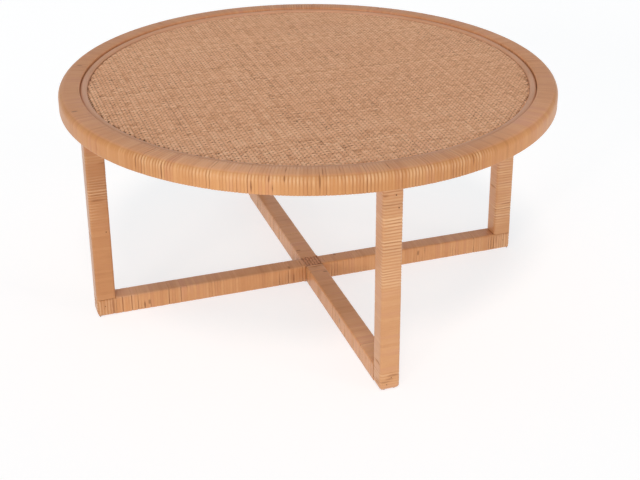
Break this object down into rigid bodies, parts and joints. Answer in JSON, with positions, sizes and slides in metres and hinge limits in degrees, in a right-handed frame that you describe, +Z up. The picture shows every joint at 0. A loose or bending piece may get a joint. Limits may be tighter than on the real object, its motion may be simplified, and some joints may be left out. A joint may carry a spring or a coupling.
{
  "type": "round coffee table",
  "caption": "Low round coffee table with a rattan-wrapped ring, legs and crossing floor rails, and a woven rattan top set inside the ring.",
  "frame": {"origin": "on the floor under the middle of the round top", "axes": "+Z up; the two floor rails lie along X and Y, with one leg at the end of each, and the front leg is on -Y"},
  "size_m": [0.9, 0.9, 0.42],
  "materials": {
    "rattan_peel": "wound strips of natural rattan peel, satin",
    "ring_peel": "wound strips of natural rattan peel, satin, slightly darker",
    "woven_rattan": "open plain weave of rattan strands, matt",
    "rattan_rod": "smooth rattan rod, satin",
    "frame_wood": "bare solid wood",
    "plywood": "bare plywood",
    "hardwood": "bare hardwood",
    "steel": "zinc plated",
    "nylon": "natural nylon"
  },
  "bodies": {
    "root": {"ring_wrap": "ring_peel", "top_panel": "plywood", "woven_mat": "woven_rattan", "mat_spline": "rattan_rod", "ring_core_front": "frame_wood", "ring_core_right": "frame_wood", "ring_core_back": "frame_wood", "ring_core_left": "frame_wood", "ring_tongue_front": "hardwood", "ring_tongue_right": "hardwood", "ring_tongue_back": "hardwood", "ring_tongue_left": "hardwood", "leg_core_front": "frame_wood", "leg_core_right": "frame_wood", "leg_core_back": "frame_wood", "leg_core_left": "frame_wood", "leg_wrap_front": "rattan_peel", "leg_wrap_right": "rattan_peel", "leg_wrap_back": "rattan_peel", "leg_wrap_left": "rattan_peel", "leg_screw_front": "steel", "leg_screw_right": "steel", "leg_screw_back": "steel", "leg_screw_left": "steel", "leg_peg_front": "hardwood", "leg_peg_right": "hardwood", "leg_peg_back": "hardwood", "leg_peg_left": "hardwood", "panel_screw_front_1": "steel", "panel_screw_front_2": "steel", "panel_screw_right_1": "steel", "panel_screw_right_2": "steel", "panel_screw_back_1": "steel", "panel_screw_back_2": "steel", "panel_screw_left_1": "steel", "panel_screw_left_2": "steel", "rail_core_left_right": "frame_wood", "rail_core_front_back": "frame_wood", "rail_wrap_front": "rattan_peel", "rail_wrap_right": "rattan_peel", "rail_wrap_back": "rattan_peel", "rail_wrap_left": "rattan_peel", "foot_wrap_front": "rattan_peel", "foot_wrap_right": "rattan_peel", "foot_wrap_back": "rattan_peel", "foot_wrap_left": "rattan_peel", "foot_glide_front": "nylon", "foot_glide_right": "nylon", "foot_glide_back": "nylon", "foot_glide_left": "nylon", "crossing_weave_top": "rattan_peel", "crossing_weave_bottom": "rattan_peel", "crossing_screw": "steel"}
  },
  "joints": []
}
